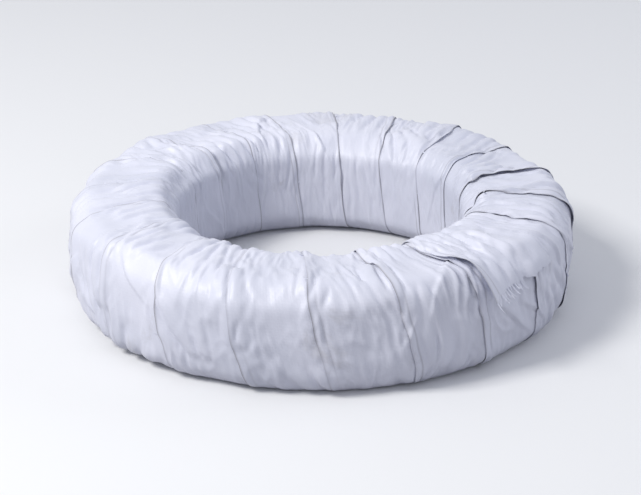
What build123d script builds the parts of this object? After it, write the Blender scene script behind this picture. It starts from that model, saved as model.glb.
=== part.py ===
from build123d import *
from math import cos, pi, radians, sin
import os

# A coil of galvanized iron wire, packed for shipping. The wound wire is a ring with a bore, held by
# four binding wires, and a woven strip is wound round the ring in one helix of overlapping laps.
# Millimetres, +Z up. The coil lies flat, its axis is Z, and the origin is on the floor at the axis.

# Wound wire
coil_bore_dia = 300.0
coil_outside_dia = 500.0
coil_height = 102.0
coil_corner_radius = 34.0
turn_ridges = 6
turn_ridge_depth = 2.0

# Binding wires, with sides for their section and bends at each corner of the coil
tie_count = 4
tie_wire_dia = 1.6
tie_wire_sides = 6
tie_corner_bends = 4
tie_tail_length = 24.0
tie_tail_lean = 20.0

# Woven strip, one closed skin of overlapping laps
laps = 20
lap_rise = 1.5
skin_thickness = 1.4
bore_trim = 1.0
floor_trim = 0.9
corner_cut = 7.0
void_corner_steps = 3
corner_tightness = 7.0

# Flat sides of the taut strip, from the bore going down: the way each faces in degrees, and how far
# it turns and swells along the ring, in waves round it
side_directions = (180.0, 225.0, 270.0, 315.0, 353.0, 366.0, 405.0, 450.0, 495.0)
side_turns = (0.0, 4.0, 0.0, 6.0, 5.0, 5.0, 9.0, 2.5, 7.0)
side_swells = (0.0, 0.6, 0.0, 1.0, 0.8, 0.8, 1.8, 1.2, 1.4)
long_turn_waves = 4
short_turn_waves = 8
swell_waves = 4

# Clearance between pieces that lie on each other
seat_gap = 0.3

# Places that follow from the sizes above
coil_bore_radius = coil_bore_dia / 2
coil_outside_radius = coil_outside_dia / 2
tie_room = seat_gap + tie_wire_dia + seat_gap
side_room = tie_room + seat_gap
coil_middle = skin_thickness + tie_room + coil_height / 2
lap_pitch = radians(360 / laps)
chord_share = cos(lap_pitch / 2)
void_outside = (coil_outside_radius + side_room) / chord_share
void_inside = (coil_bore_radius - side_room) / chord_share
void_half_height = coil_height / 2 + tie_room
void_corner = coil_corner_radius + tie_room - corner_tightness
bore_wall_radius = coil_bore_radius - side_room - skin_thickness
section_middle = (void_outside + void_inside) / 2
void_straight = void_half_height - void_corner


def end_ridges(side):
    """Points that zigzag over one rounded end of the section, from the outside to the bore.

    Crests lie on the section and valleys between the turns are sunk in it. Side is 1 for the top
    end and -1 for the underside.
    """
    radius = coil_corner_radius
    arc = radius * pi / 2
    flat = coil_outside_radius - coil_bore_radius - 2 * radius
    last = 2 * turn_ridges
    points = []
    for step in range(last + 1):
        along = (2 * arc + flat) * step / last
        reach = radius - (turn_ridge_depth if step % 2 == 0 and 0 < step < last else 0)
        turn = min(along, arc) / radius + max(along - arc - flat, 0) / radius
        middle = coil_outside_radius - radius - min(max(along - arc, 0), flat)
        height = coil_height / 2 - radius + reach * sin(turn)
        points.append(Vector(middle + reach * cos(turn), 0, coil_middle + side * height))
    return points


def make_wire_coil():
    """The wound wire: a ring turned from its section, with ridged ends."""
    outline = end_ridges(side=1) + end_ridges(side=-1)[::-1]
    section = Face(Wire.make_polygon(outline, close=True))
    return Solid.revolve(section, 360, Axis.Z)


def tie_line(offset, aside):
    """Straight runs once round the section of the coil, so far out from it and so far to its side.

    Each corner takes a few bends, and the runs between them touch the rounded corner from outside.
    """
    points = []
    for corner in range(4):
        out = (coil_outside_radius - coil_bore_radius) / 2 - coil_corner_radius
        out *= 1 if corner in (1, 2) else -1
        up = coil_height / 2 - coil_corner_radius
        up *= 1 if corner in (2, 3) else -1
        for bend in range(tie_corner_bends):
            angle = pi + (corner + (bend + 0.5) / tie_corner_bends) * pi / 2
            reach = (coil_corner_radius + offset) / cos(pi / 4 / tie_corner_bends)
            radius = (coil_outside_radius + coil_bore_radius) / 2 + out + reach * cos(angle)
            points.append(Vector(radius, aside, coil_middle + up + reach * sin(angle)))
    return [Edge.make_line(*ends) for ends in zip(points, points[1:] + points[:1])]


def make_tie_wire(turn):
    """A binding wire round the section of the coil, its two ends laid side by side on the outside."""
    offset = seat_gap + tie_wire_dia / 2
    lines = []
    for side in range(tie_wire_sides):
        angle = 2 * pi * side / tie_wire_sides
        lines.append(
            tie_line(offset + tie_wire_dia / 2 * cos(angle), tie_wire_dia / 2 * sin(angle))
        )
    tie = closed_skin(zip(lines, lines[1:] + lines[:1]))
    wire = RegularPolygon(tie_wire_dia / 2, tie_wire_sides)
    lean = Vector(0, sin(radians(tie_tail_lean)), cos(radians(tie_tail_lean)))
    for strand in (0, 1):
        root = Vector(
            coil_outside_radius + offset, strand * tie_wire_dia / 2, coil_middle - tie_tail_length / 2
        )
        tie += extrude(Plane(origin=root, x_dir=(1, 0, 0), z_dir=lean) * wire, tie_tail_length)
    return tie.rotate(Axis.Z, turn)


def lap_edge(walk, lap):
    """One lap edge: straight runs once round the section, while it moves one lap along the ring.

    The walk is a list of points of the section, out from the axis and up, which starts and ends at the
    middle of the bore. The edge's place along the ring falls evenly with the length walked.
    """
    lengths = [(end - start).length for start, end in zip(walk, walk[1:])]
    points = []
    for number, point in enumerate(walk):
        place = lap_pitch * (lap + 0.5 - sum(lengths[:number]) / sum(lengths))
        points.append(Vector(point.X * cos(place), point.X * sin(place), point.Y))
    return [Edge.make_line(*ends) for ends in zip(points, points[1:])]


def void_walk():
    """The section of the room inside the wrap: a square with its corners rounded in short steps."""
    walk = [Vector(void_inside, coil_middle)]
    for corner in range(4):
        turned = pi + corner * pi / 2
        out = void_straight * (1 if corner in (1, 2) else -1)
        up = void_straight * (1 if corner in (2, 3) else -1)
        for step in range(void_corner_steps + 1):
            angle = turned + step * pi / 2 / void_corner_steps
            walk.append(
                Vector(
                    section_middle + out + void_corner * cos(angle),
                    coil_middle + up + void_corner * sin(angle),
                )
            )
    return walk + walk[:1]


def taut_side(number, lap):
    """The way that a side of the taut strip faces where a lap edge crosses it, and its distance.

    The distance is from the middle of the section, and clears the room inside the wrap.
    """
    nominal = side_directions[number]
    place = lap_pitch * (lap + 0.5 - (nominal - side_directions[0]) / 360)
    turn = 0.6 * sin(long_turn_waves * place + 2.4 * number)
    turn += 0.4 * sin(short_turn_waves * place + 1.7 * number + 1)
    facing = radians(nominal + side_turns[number] * turn)
    swell = side_swells[number] * (0.5 + 0.5 * sin(swell_waves * place + 3.1 * number))
    return facing, void_straight * (abs(cos(facing)) + abs(sin(facing))) + void_corner + swell


def skin_walk(rise, lap):
    """The section of the outside of the wrap at a lap edge: flat sides with their corners cut."""
    trims = {180.0: bore_trim, 270.0: floor_trim}
    sides = []
    for number, nominal in enumerate(side_directions):
        facing, distance = taut_side(number, lap)
        sides.append((facing, distance + skin_thickness + trims.get(nominal, 0) + rise))
    walk = [Vector(section_middle - sides[0][1], coil_middle)]
    for (facing, distance), (next_facing, next_distance) in zip(sides, sides[1:] + sides[:1]):
        spread = sin(next_facing - facing)
        out = (distance * sin(next_facing) - next_distance * sin(facing)) / spread
        up = (next_distance * cos(facing) - distance * cos(next_facing)) / spread
        corner = Vector(section_middle + out, coil_middle + up)
        walk.append(corner - corner_cut * Vector(-sin(facing), cos(facing)))
        walk.append(corner + corner_cut * Vector(-sin(next_facing), cos(next_facing)))
    return walk + walk[:1]


def closed_skin(strips):
    """A closed solid of ruled faces, from pairs of edges that bound one strip of it each."""
    faces = []
    for first, second in strips:
        faces += [Face.make_surface_from_curves(*sides) for sides in zip(first, second)]
    return Solid(Shell(faces))


def make_outer_skin():
    """The outside of the wrap: each lap starts raised on the last one and dips under the next."""
    base = [lap_edge(skin_walk(0, lap), lap) for lap in range(laps)]
    crest = [lap_edge(skin_walk(lap_rise, lap), lap) for lap in range(laps)]
    next_base = base[1:] + base[:1]
    return closed_skin(list(zip(base, crest)) + list(zip(crest, next_base)))


def make_void():
    """The room inside the wrap, which clears the coil and its binding wires."""
    edges = [lap_edge(void_walk(), lap) for lap in range(laps)]
    return closed_skin(zip(edges, edges[1:] + edges[:1]))


def make_woven_wrap():
    """The skin of overlapping laps, open for the coil inside, its bore and its flat underside."""
    skin = make_outer_skin()
    size = skin.bounding_box().size
    bore = Pos(0, 0, coil_middle) * Cylinder(bore_wall_radius, 2 * size.Z)
    below = Pos(0, 0, -size.Z) * Box(2 * size.X, 2 * size.Y, 2 * size.Z)
    return skin - bore - below - make_void()


def write_part(name, shape):
    """Write one piece as its own STEP file."""
    export_step(shape, f"parts/{name}.step")
    print(name, round(shape.volume), "mm3", len(shape.faces()), "faces")


if __name__ == "__main__":
    os.makedirs("parts", exist_ok=True)
    write_part("wire_coil", make_wire_coil())
    for tie in range(tie_count):
        nearest_lap = round(tie * laps / tie_count)
        write_part(f"tie_wire_{tie + 1}", make_tie_wire(nearest_lap * 360 / laps))
    write_part("woven_wrap", make_woven_wrap())
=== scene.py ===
"""Looks of a coil of galvanized wire that is wrapped in a woven strip and stored lying on the floor.

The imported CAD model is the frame: metres, +Z up, the ring's axis on Z and its underside on the floor.
The strip is worked out as one helix of overlapping laps and takes the place of the CAD wrap. Sizes of the
pieces are in millimetres until a mesh is written.
"""

import logging
import math
from collections.abc import Iterator
from dataclasses import dataclass
from enum import Enum
from typing import ClassVar

import bpy
import numpy as np
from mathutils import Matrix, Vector
from numpy.typing import NDArray


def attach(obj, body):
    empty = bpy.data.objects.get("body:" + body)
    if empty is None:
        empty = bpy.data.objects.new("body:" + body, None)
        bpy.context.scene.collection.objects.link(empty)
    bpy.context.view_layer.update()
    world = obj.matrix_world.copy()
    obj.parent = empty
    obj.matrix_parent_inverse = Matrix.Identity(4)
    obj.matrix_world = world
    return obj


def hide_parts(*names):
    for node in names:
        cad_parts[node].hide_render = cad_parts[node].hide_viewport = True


Array = NDArray[np.float64]
LOG = logging.getLogger("wrapped_coil")
MILLIMETRE = 0.001
WHOLE_TURN = 2.0 * math.pi
# The cloth's UV map, in millimetres along the strip and across it
STRIP_MAP = "strip_mm"
# Length of one wave of a Wave Texture whose scale is 1
WAVE_LENGTH = math.pi / 10.0
# Numbers of the Mix node's sockets
NUMBER_A, NUMBER_B, COLOUR_A, COLOUR_B, MIXED_COLOUR = 2, 3, 6, 7, 2

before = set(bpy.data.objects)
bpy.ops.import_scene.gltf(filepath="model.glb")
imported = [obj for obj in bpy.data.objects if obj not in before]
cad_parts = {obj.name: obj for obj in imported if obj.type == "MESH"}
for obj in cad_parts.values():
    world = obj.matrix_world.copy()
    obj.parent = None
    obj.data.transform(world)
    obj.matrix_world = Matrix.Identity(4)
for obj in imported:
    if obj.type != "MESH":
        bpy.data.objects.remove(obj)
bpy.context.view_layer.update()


class Slot(Enum):
    """The record's material slots."""

    WIRE = "galvanized_wire"
    TIE = "tie_wire"
    CLOTH = "woven_cloth"


# Helpers for colours, nodes, meshes and random heights


def linear(colour: str) -> tuple[float, float, float, float]:
    """Turn an sRGB hex colour into linear RGBA.

    Args:
        colour: Six hex digits after a "#".

    Returns:
        Red, green and blue in linear light, and an alpha of 1.
    """
    parts = [int(colour[start : start + 2], 16) / 255 for start in (1, 3, 5)]
    bright = [part / 12.92 if part <= 0.04045 else ((part + 0.055) / 1.055) ** 2.4 for part in parts]
    return (bright[0], bright[1], bright[2], 1.0)


def per_metre(size: float) -> float:
    """Scale of a pattern on Object coordinates whose cells have a size in millimetres."""
    return 1.0 / (size * MILLIMETRE)


def add_node(
    tree: bpy.types.NodeTree,
    kind: str,
    settings: dict[str, object] | None = None,
    values: dict[str | int, object] | None = None,
    links: dict[str | int, bpy.types.NodeSocket | bpy.types.Node] | None = None,
    stops: tuple[tuple[float, str], ...] = (),
) -> bpy.types.Node:
    """Add one node with its settings, the values of its sockets, its links and its colour stops.

    Args:
        tree: The node tree that it goes into.
        kind: The node's type name.
        settings: Attributes of the node itself.
        values: Socket names or numbers, with the values that they get.
        links: Socket names or numbers, with the output that feeds each, or the node whose first does.
        stops: Two places from 0 to 1 on a colour ramp, each with its sRGB hex colour.

    Returns:
        The new node.
    """
    node = tree.nodes.new(kind)
    for name, value in (settings or {}).items():
        setattr(node, name, value)
    for name, value in (values or {}).items():
        node.inputs[name].default_value = value
    for name, source in (links or {}).items():
        output = source.outputs[0] if isinstance(source, bpy.types.Node) else source
        tree.links.new(output, node.inputs[name])
    for number, (place, colour) in enumerate(stops):
        node.color_ramp.elements[number].position = place
        node.color_ramp.elements[number].color = linear(colour)
    return node


def background_share(tree: bpy.types.NodeTree) -> bpy.types.Node:
    """Tell the rays that show the background: those of the camera, of gloss and through glass.

    Args:
        tree: The node tree that it goes into.

    Returns:
        A node that gives 1 for such rays, and 0 for those that light the object.
    """
    rays = add_node(tree, "ShaderNodeLightPath").outputs
    seen = rays["Is Camera Ray"]
    for way in ("Is Glossy Ray", "Is Transmission Ray"):
        seen = add_node(tree, "ShaderNodeMath", {"operation": "MAXIMUM"}, links={0: seen, 1: rays[way]})
    return seen


def add_piece(name: str, points: Array, faces: Array, material: bpy.types.Material) -> bpy.types.Object:
    """Make a smooth mesh object of one material.

    Args:
        name: The object's name.
        points: Points by x, y and z, in millimetres.
        faces: Faces by the numbers of their four points.
        material: Its material.

    Returns:
        The object, in the scene.
    """
    mesh = bpy.data.meshes.new(name)
    mesh.from_pydata(points * MILLIMETRE, [], faces)
    mesh.polygons.foreach_set("use_smooth", np.ones(len(faces), dtype=bool))
    mesh.materials.append(material)
    piece = bpy.data.objects.new(name, mesh)
    bpy.context.scene.collection.objects.link(piece)
    return piece


def smooth_step(low: float, high: float, value: Array) -> Array:
    """Rise from 0 at low to 1 at high, level at both ends: 3t^2 - 2t^3 of the share t of the way.

    Args:
        low: Where the rise starts.
        high: Where it ends; below low, it falls instead.
        value: The values to place.

    Returns:
        The share for each value.
    """
    share = np.clip((value - low) / (high - low), 0.0, 1.0)
    return share * share * (3.0 - 2.0 * share)


def turned(along: Array, across: Array, heading: Array) -> tuple[Array, Array]:
    """Distances ahead and beside on a heading: v = a cos h + c sin h, and u = c cos h - a sin h.

    Args:
        along: Distances a along the strip.
        across: Distances c across it.
        heading: The heading h in radians, from along towards across.

    Returns:
        Distances v ahead and u beside.
    """
    ahead = along * np.cos(heading) + across * np.sin(heading)
    return ahead, across * np.cos(heading) - along * np.sin(heading)


@dataclass(frozen=True)
class Unevenness:
    """A smooth random height over a plane, which repeats after a whole number of cells.

    The size is that of one cell, in the unit of the places that are asked for. The height is about the
    greatest that there is.
    """

    seed: int
    cells: tuple[int, int]
    size: tuple[float, float] = (1.0, 1.0)
    height: float = 1.0

    def at(self, first: Array, second: Array) -> Array:
        """Height at places.

        Each lattice corner has a random slope. A point adds up the heights that its four corners'
        slopes give it, weighted by 6t^5 - 15t^4 + 10t^3 of how near it is to each.

        Args:
            first: First coordinate.
            second: Second coordinate.

        Returns:
            Heights, as far below zero as above it.
        """
        slopes = np.random.default_rng(self.seed).uniform(0.0, 2.0 * np.pi, self.cells)
        first, second = np.broadcast_arrays(first / self.size[0], second / self.size[1])
        row, column = np.floor(first).astype(int), np.floor(second).astype(int)
        part_1, part_2 = first - row, second - column
        ease_1 = part_1**3 * (part_1 * (6.0 * part_1 - 15.0) + 10.0)
        ease_2 = part_2**3 * (part_2 * (6.0 * part_2 - 15.0) + 10.0)
        height = np.zeros(first.shape)
        for step_1 in (0, 1):
            for step_2 in (0, 1):
                slope = slopes[(row + step_1) % self.cells[0], (column + step_2) % self.cells[1]]
                reach = np.cos(slope) * (part_1 - step_1) + np.sin(slope) * (part_2 - step_2)
                share_1 = ease_1 if step_1 else 1.0 - ease_1
                share_2 = ease_2 if step_2 else 1.0 - ease_2
                height += reach * share_1 * share_2
        return self.height * (1.5 * height)

    def line(self, first: Array, second: float = 0.5) -> Array:
        """Height along one line of the plane, at a second coordinate given in cells."""
        return self.at(first, np.array(second * self.size[1]))

    def off_zero(self, first: Array, second: Array) -> Array:
        """Size of the height at places, at most 1, which has sharp valleys along the zero lines."""
        return np.minimum(np.abs(self.at(first, second)), 1.0)

    def patches(self, low: float, high: float, first: Array, second: Array) -> Array:
        """Patches of the plane, as shares that rise smoothly from 0 at the height low to 1 at high."""
        return smooth_step(low, high, self.at(first, second))


@dataclass(frozen=True)
class Scatter:
    """One middle in each cell of a plane, between 0.2 and 0.8 of the cell's length and width.

    The cell is in the unit of the places. Of its random numbers, the first two place the middle.
    """

    seed: int
    draws: int
    cell: tuple[float, float]
    cells: tuple[int, int] = (256, 32)

    def near(self, along: Array, across: Array) -> Iterator[tuple[Array, Array, Array]]:
        """Go through the nine middles that are near each place.

        Args:
            along: First coordinate.
            across: Second coordinate.

        Yields:
            The cell's random numbers, and the distances along and across from its middle.
        """
        length, width = self.cell
        first, second = np.floor(along / length).astype(int), np.floor(across / width).astype(int)
        chances = np.random.default_rng(self.seed).uniform(0.0, 1.0, (self.draws, *self.cells))
        for step_1 in (-1, 0, 1):
            for step_2 in (-1, 0, 1):
                row, column = first + step_1, second + step_2
                chance = chances[:, row % self.cells[0], column % self.cells[1]]
                off_along = along - (row + 0.2 + 0.6 * chance[0]) * length
                off_across = across - (column + 0.2 + 0.6 * chance[1]) * width
                yield chance, off_along, off_across


# Finishes


class Finish:
    """What a piece is made of, as a node material with one shader."""

    name: ClassVar[str]

    def shader(self, tree: bpy.types.NodeTree) -> bpy.types.Node:
        """Add the nodes of the finish to the tree, and give its shader."""
        raise NotImplementedError

    def material(self) -> bpy.types.Material:
        """Make the finish's material.

        Returns:
            A material that is named for the finish and whose surface is its shader.
        """
        material = bpy.data.materials.new(self.name)
        material.use_nodes = True
        tree = material.node_tree
        tree.nodes.clear()
        add_node(tree, "ShaderNodeOutputMaterial", links={"Surface": self.shader(tree)})
        return material


@dataclass(frozen=True)
class WovenPolypropylene(Finish):
    """Woven polypropylene tape cloth, the white wrapping strip of bulk goods.

    Flat tapes give it a satin gloss with soft broad highlights, a cool white that the day's light turns
    faintly lavender, and a fine squared weave that shows only from near.
    """

    name: ClassVar[str] = "white_woven_polypropylene_tape"
    colour: str = "#dddfec"
    shaded_colour: str = "#cfd2e0"
    cloud_size: float = 111.1
    smudge_colour: str = "#a9a6a4"
    smudge_size: float = 71.4
    smudge_share: float = 0.45
    # Painted shade along the lap edges and in the hem's groove, with some dust
    edge_shade_and_dust_colour: str = "#8f8e95"
    tape_width: float = 3.0
    tape_relief: float = 0.4
    crinkle_length: float = 14.0
    crinkle_width: float = 6.0
    crinkle_relief: float = 0.3
    roughness: float = 0.43

    def dyed(
        self, tree: bpy.types.NodeTree, body: bpy.types.NodeSocket, cloud: bpy.types.Node
    ) -> bpy.types.NodeSocket:
        """Colour the cloth: soft clouding, a few dull smudges from handling, and dark lines along the lap
        edges and in the groove behind the hem, which are painted shade of the gap under each edge and of
        the groove, with some dust.

        Args:
            tree: The node tree that it goes into.
            body: The place on the object.
            cloud: The clouding, from 0 to 1.

        Returns:
            The colour.
        """
        stops = ((0.35, self.shaded_colour), (0.62, self.colour))
        colour = add_node(tree, "ShaderNodeValToRGB", links={"Fac": cloud}, stops=stops).outputs["Color"]
        detail = {"Detail": 5.0, "Roughness": 0.68, "Distortion": 0.6}
        values = {"Scale": per_metre(self.smudge_size)} | detail
        patch = add_node(tree, "ShaderNodeTexNoise", values=values, links={"Vector": body})
        values = {"From Min": 0.61, "From Max": 0.78, "To Max": self.smudge_share}
        dirt = add_node(tree, "ShaderNodeMapRange", values=values, links={"Value": patch}).outputs[0]
        edge_shade_and_dust = add_node(tree, "ShaderNodeAttribute", {"attribute_name": "edge_shade_and_dust"}).outputs["Fac"]
        # The smudges are dirt; the edge lines are painted shade where the gap under the lap edge and the
        # hem's groove fall in shadow, with some dust
        for share, soil_and_shade_colour in ((dirt, self.smudge_colour), (edge_shade_and_dust, self.edge_shade_and_dust_colour)):
            values, links = {COLOUR_B: linear(soil_and_shade_colour)}, {0: share, COLOUR_A: colour}
            mixed = add_node(tree, "ShaderNodeMix", {"data_type": "RGBA"}, values, links)
            colour = mixed.outputs[MIXED_COLOUR]
        return colour

    def weave(self, tree: bpy.types.NodeTree, place: bpy.types.Node) -> bpy.types.Node:
        """Weave the tapes over and under each other: one wave for each way, and a checker to choose.

        Args:
            tree: The node tree that it goes into.
            place: The place on the strip in millimetres.

        Returns:
            The height of the weave, from 0 to 1.
        """
        waves = [
            add_node(
                tree,
                "ShaderNodeTexWave",
                {"wave_type": "BANDS", "bands_direction": direction, "wave_profile": "SIN"},
                {"Scale": WAVE_LENGTH / self.tape_width},
                {"Vector": place},
            ).outputs["Fac"]
            for direction in ("X", "Y")
        ]
        values = {"Scale": 1.0 / self.tape_width}
        over = add_node(tree, "ShaderNodeTexChecker", values=values, links={"Vector": place})
        links = {0: over.outputs["Fac"], NUMBER_A: waves[0], NUMBER_B: waves[1]}
        return add_node(tree, "ShaderNodeMix", {"data_type": "FLOAT"}, links=links)

    def crinkles(self, tree: bpy.types.NodeTree, place: bpy.types.Node) -> bpy.types.Node:
        """Crinkle the cloth in ridges too small for the mesh, longer along the strip than across it.

        Args:
            tree: The node tree that it goes into.
            place: The place on the strip in millimetres.

        Returns:
            The height of the crinkles.
        """
        stretch = {1: (1.0 / self.crinkle_length, 1.0 / self.crinkle_width, 0.0)}
        stretched = add_node(tree, "ShaderNodeVectorMath", {"operation": "MULTIPLY"}, stretch, {0: place})
        return add_node(
            tree,
            "ShaderNodeTexNoise",
            {"noise_type": "RIDGED_MULTIFRACTAL"},
            {"Scale": 1.0, "Detail": 2.0, "Roughness": 0.5, "Distortion": 0.4},
            {"Vector": stretched},
        )

    def shader(self, tree: bpy.types.NodeTree) -> bpy.types.Node:
        """Add the cloth's nodes, with its weave on the UV map that is in millimetres.

        Args:
            tree: The node tree that they go into.

        Returns:
            The shader.
        """
        place = add_node(tree, "ShaderNodeUVMap", {"uv_map": STRIP_MAP})
        body = add_node(tree, "ShaderNodeTexCoord").outputs["Object"]
        values = {"Scale": per_metre(self.cloud_size), "Detail": 3.0, "Roughness": 0.55}
        cloud = add_node(tree, "ShaderNodeTexNoise", values=values, links={"Vector": body})
        values = {"To Min": self.roughness - 0.07, "To Max": self.roughness + 0.1}
        gloss = add_node(tree, "ShaderNodeMapRange", values=values, links={"Value": cloud})
        values = {"Strength": 0.12, "Distance": self.tape_relief * MILLIMETRE}
        woven = add_node(tree, "ShaderNodeBump", values=values, links={"Height": self.weave(tree, place)})
        values = {"Strength": 0.35, "Distance": self.crinkle_relief * MILLIMETRE}
        links = {"Height": self.crinkles(tree, place), "Normal": woven}
        bump = add_node(tree, "ShaderNodeBump", values=values, links=links)
        return add_node(
            tree,
            "ShaderNodeBsdfPrincipled",
            values={"IOR": 1.49, "Sheen Weight": 0.04, "Sheen Roughness": 0.4},
            links={"Base Color": self.dyed(tree, body, cloud), "Roughness": gloss, "Normal": bump},
        )


@dataclass(frozen=True)
class MottledMetal(Finish):
    """A metal whose colour goes from one tone to another over a pattern, with a bumpy surface."""

    colour: str
    dull_colour: str
    roughness: float

    def surface(
        self,
        tree: bpy.types.NodeTree,
        pattern: bpy.types.Node,
        ends: tuple[float, float],
        bumps: bpy.types.Node,
        depth: dict[str, float],
    ) -> bpy.types.Node:
        """Add the metal's colour, bump and shader.

        Args:
            tree: The node tree that they go into.
            pattern: The pattern of the colours.
            ends: Its values where the colour is the dull one and the bright one.
            bumps: The height of the surface.
            depth: The bump's strength and distance.

        Returns:
            The shader.
        """
        stops = ((ends[0], self.dull_colour), (ends[1], self.colour))
        colour = add_node(tree, "ShaderNodeValToRGB", links={"Fac": pattern}, stops=stops)
        bump = add_node(tree, "ShaderNodeBump", values=depth, links={"Height": bumps})
        return add_node(
            tree,
            "ShaderNodeBsdfPrincipled",
            values={"Metallic": 1.0, "Roughness": self.roughness},
            links={"Base Color": colour, "Normal": bump},
        )


@dataclass(frozen=True)
class GalvanizedZinc(MottledMetal):
    """Hot-dip zinc on drawn iron wire: bluish grey with a faint crystal spangle, wound in close turns."""

    name: ClassVar[str] = "hot_dip_galvanized_wire"
    colour: str = "#a9afb4"
    dull_colour: str = "#8b9196"
    roughness: float = 0.38
    spangle_size: float = 5.6
    wire_width: float = 2.5
    wire_relief: float = 0.8

    def shader(self, tree: bpy.types.NodeTree) -> bpy.types.Node:
        """Add the zinc's nodes, with bands as wide as the wire round the axis of the ring.

        The height of the bands is the greater of two sines, of the radius and of the height above the
        floor, whose waves are as long as the wire is wide.

        Args:
            tree: The node tree that they go into.

        Returns:
            The shader.
        """
        body = add_node(tree, "ShaderNodeTexCoord").outputs["Object"]
        values = {"Scale": per_metre(self.spangle_size)}
        spangle = add_node(tree, "ShaderNodeTexVoronoi", values=values, links={"Vector": body})
        x, y, z = add_node(tree, "ShaderNodeSeparateXYZ", links={"Vector": body}).outputs
        flat = add_node(tree, "ShaderNodeCombineXYZ", links={"X": x, "Y": y})
        radius = add_node(tree, "ShaderNodeVectorMath", {"operation": "LENGTH"}, links={0: flat})
        waves = []
        for source in (radius.outputs["Value"], z):
            values = {1: WHOLE_TURN * per_metre(self.wire_width)}
            angle = add_node(tree, "ShaderNodeMath", {"operation": "MULTIPLY"}, values, {0: source})
            waves.append(add_node(tree, "ShaderNodeMath", {"operation": "SINE"}, links={0: angle}))
        links = {0: waves[0], 1: waves[1]}
        strands = add_node(tree, "ShaderNodeMath", {"operation": "MAXIMUM"}, links=links)
        depth = {"Strength": 0.6, "Distance": self.wire_relief * MILLIMETRE}
        return self.surface(tree, spangle, (0.1, 0.7), strands, depth)


@dataclass(frozen=True)
class AnnealedIron(MottledMetal):
    """Soft black annealed tying wire: dark grey, dull, with a thin oily scale."""

    name: ClassVar[str] = "black_annealed_tying_wire"
    colour: str = "#57544f"
    dull_colour: str = "#3d3a37"
    roughness: float = 0.55
    scale_size: float = 2.5
    scale_relief: float = 0.1

    def shader(self, tree: bpy.types.NodeTree) -> bpy.types.Node:
        """Add the tying wire's nodes, with its mottled scale.

        Args:
            tree: The node tree that they go into.

        Returns:
            The shader.
        """
        body = add_node(tree, "ShaderNodeTexCoord").outputs["Object"]
        values = {"Scale": per_metre(self.scale_size), "Detail": 3.0}
        scale = add_node(tree, "ShaderNodeTexNoise", values=values, links={"Vector": body})
        depth = {"Strength": 0.3, "Distance": self.scale_relief * MILLIMETRE}
        return self.surface(tree, scale, (0.4, 0.6), scale, depth)


@dataclass(frozen=True)
class StudioFloor(Finish):
    """Pale matt studio floor, which shows white to the camera and keeps the object's shadow.

    The light that it throws back on the object is that of a greyer floor.
    """

    name: ClassVar[str] = "pale_matt_studio_floor"
    colour: str = "#ecedee"
    bounce_colour: str = "#b4b4b8"
    roughness: float = 0.9

    def shader(self, tree: bpy.types.NodeTree) -> bpy.types.Node:
        """Add the floor's nodes.

        Args:
            tree: The node tree that they go into.

        Returns:
            The shader.
        """
        values = {COLOUR_A: linear(self.bounce_colour), COLOUR_B: linear(self.colour)}
        links = {0: background_share(tree)}
        mixed = add_node(tree, "ShaderNodeMix", {"data_type": "RGBA"}, values, links)
        return add_node(
            tree,
            "ShaderNodeBsdfPrincipled",
            values={"Roughness": self.roughness, "Specular IOR Level": 0.2},
            links={"Base Color": mixed.outputs[MIXED_COLOUR]},
        )


# The wrapped section and the strip round it


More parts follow.
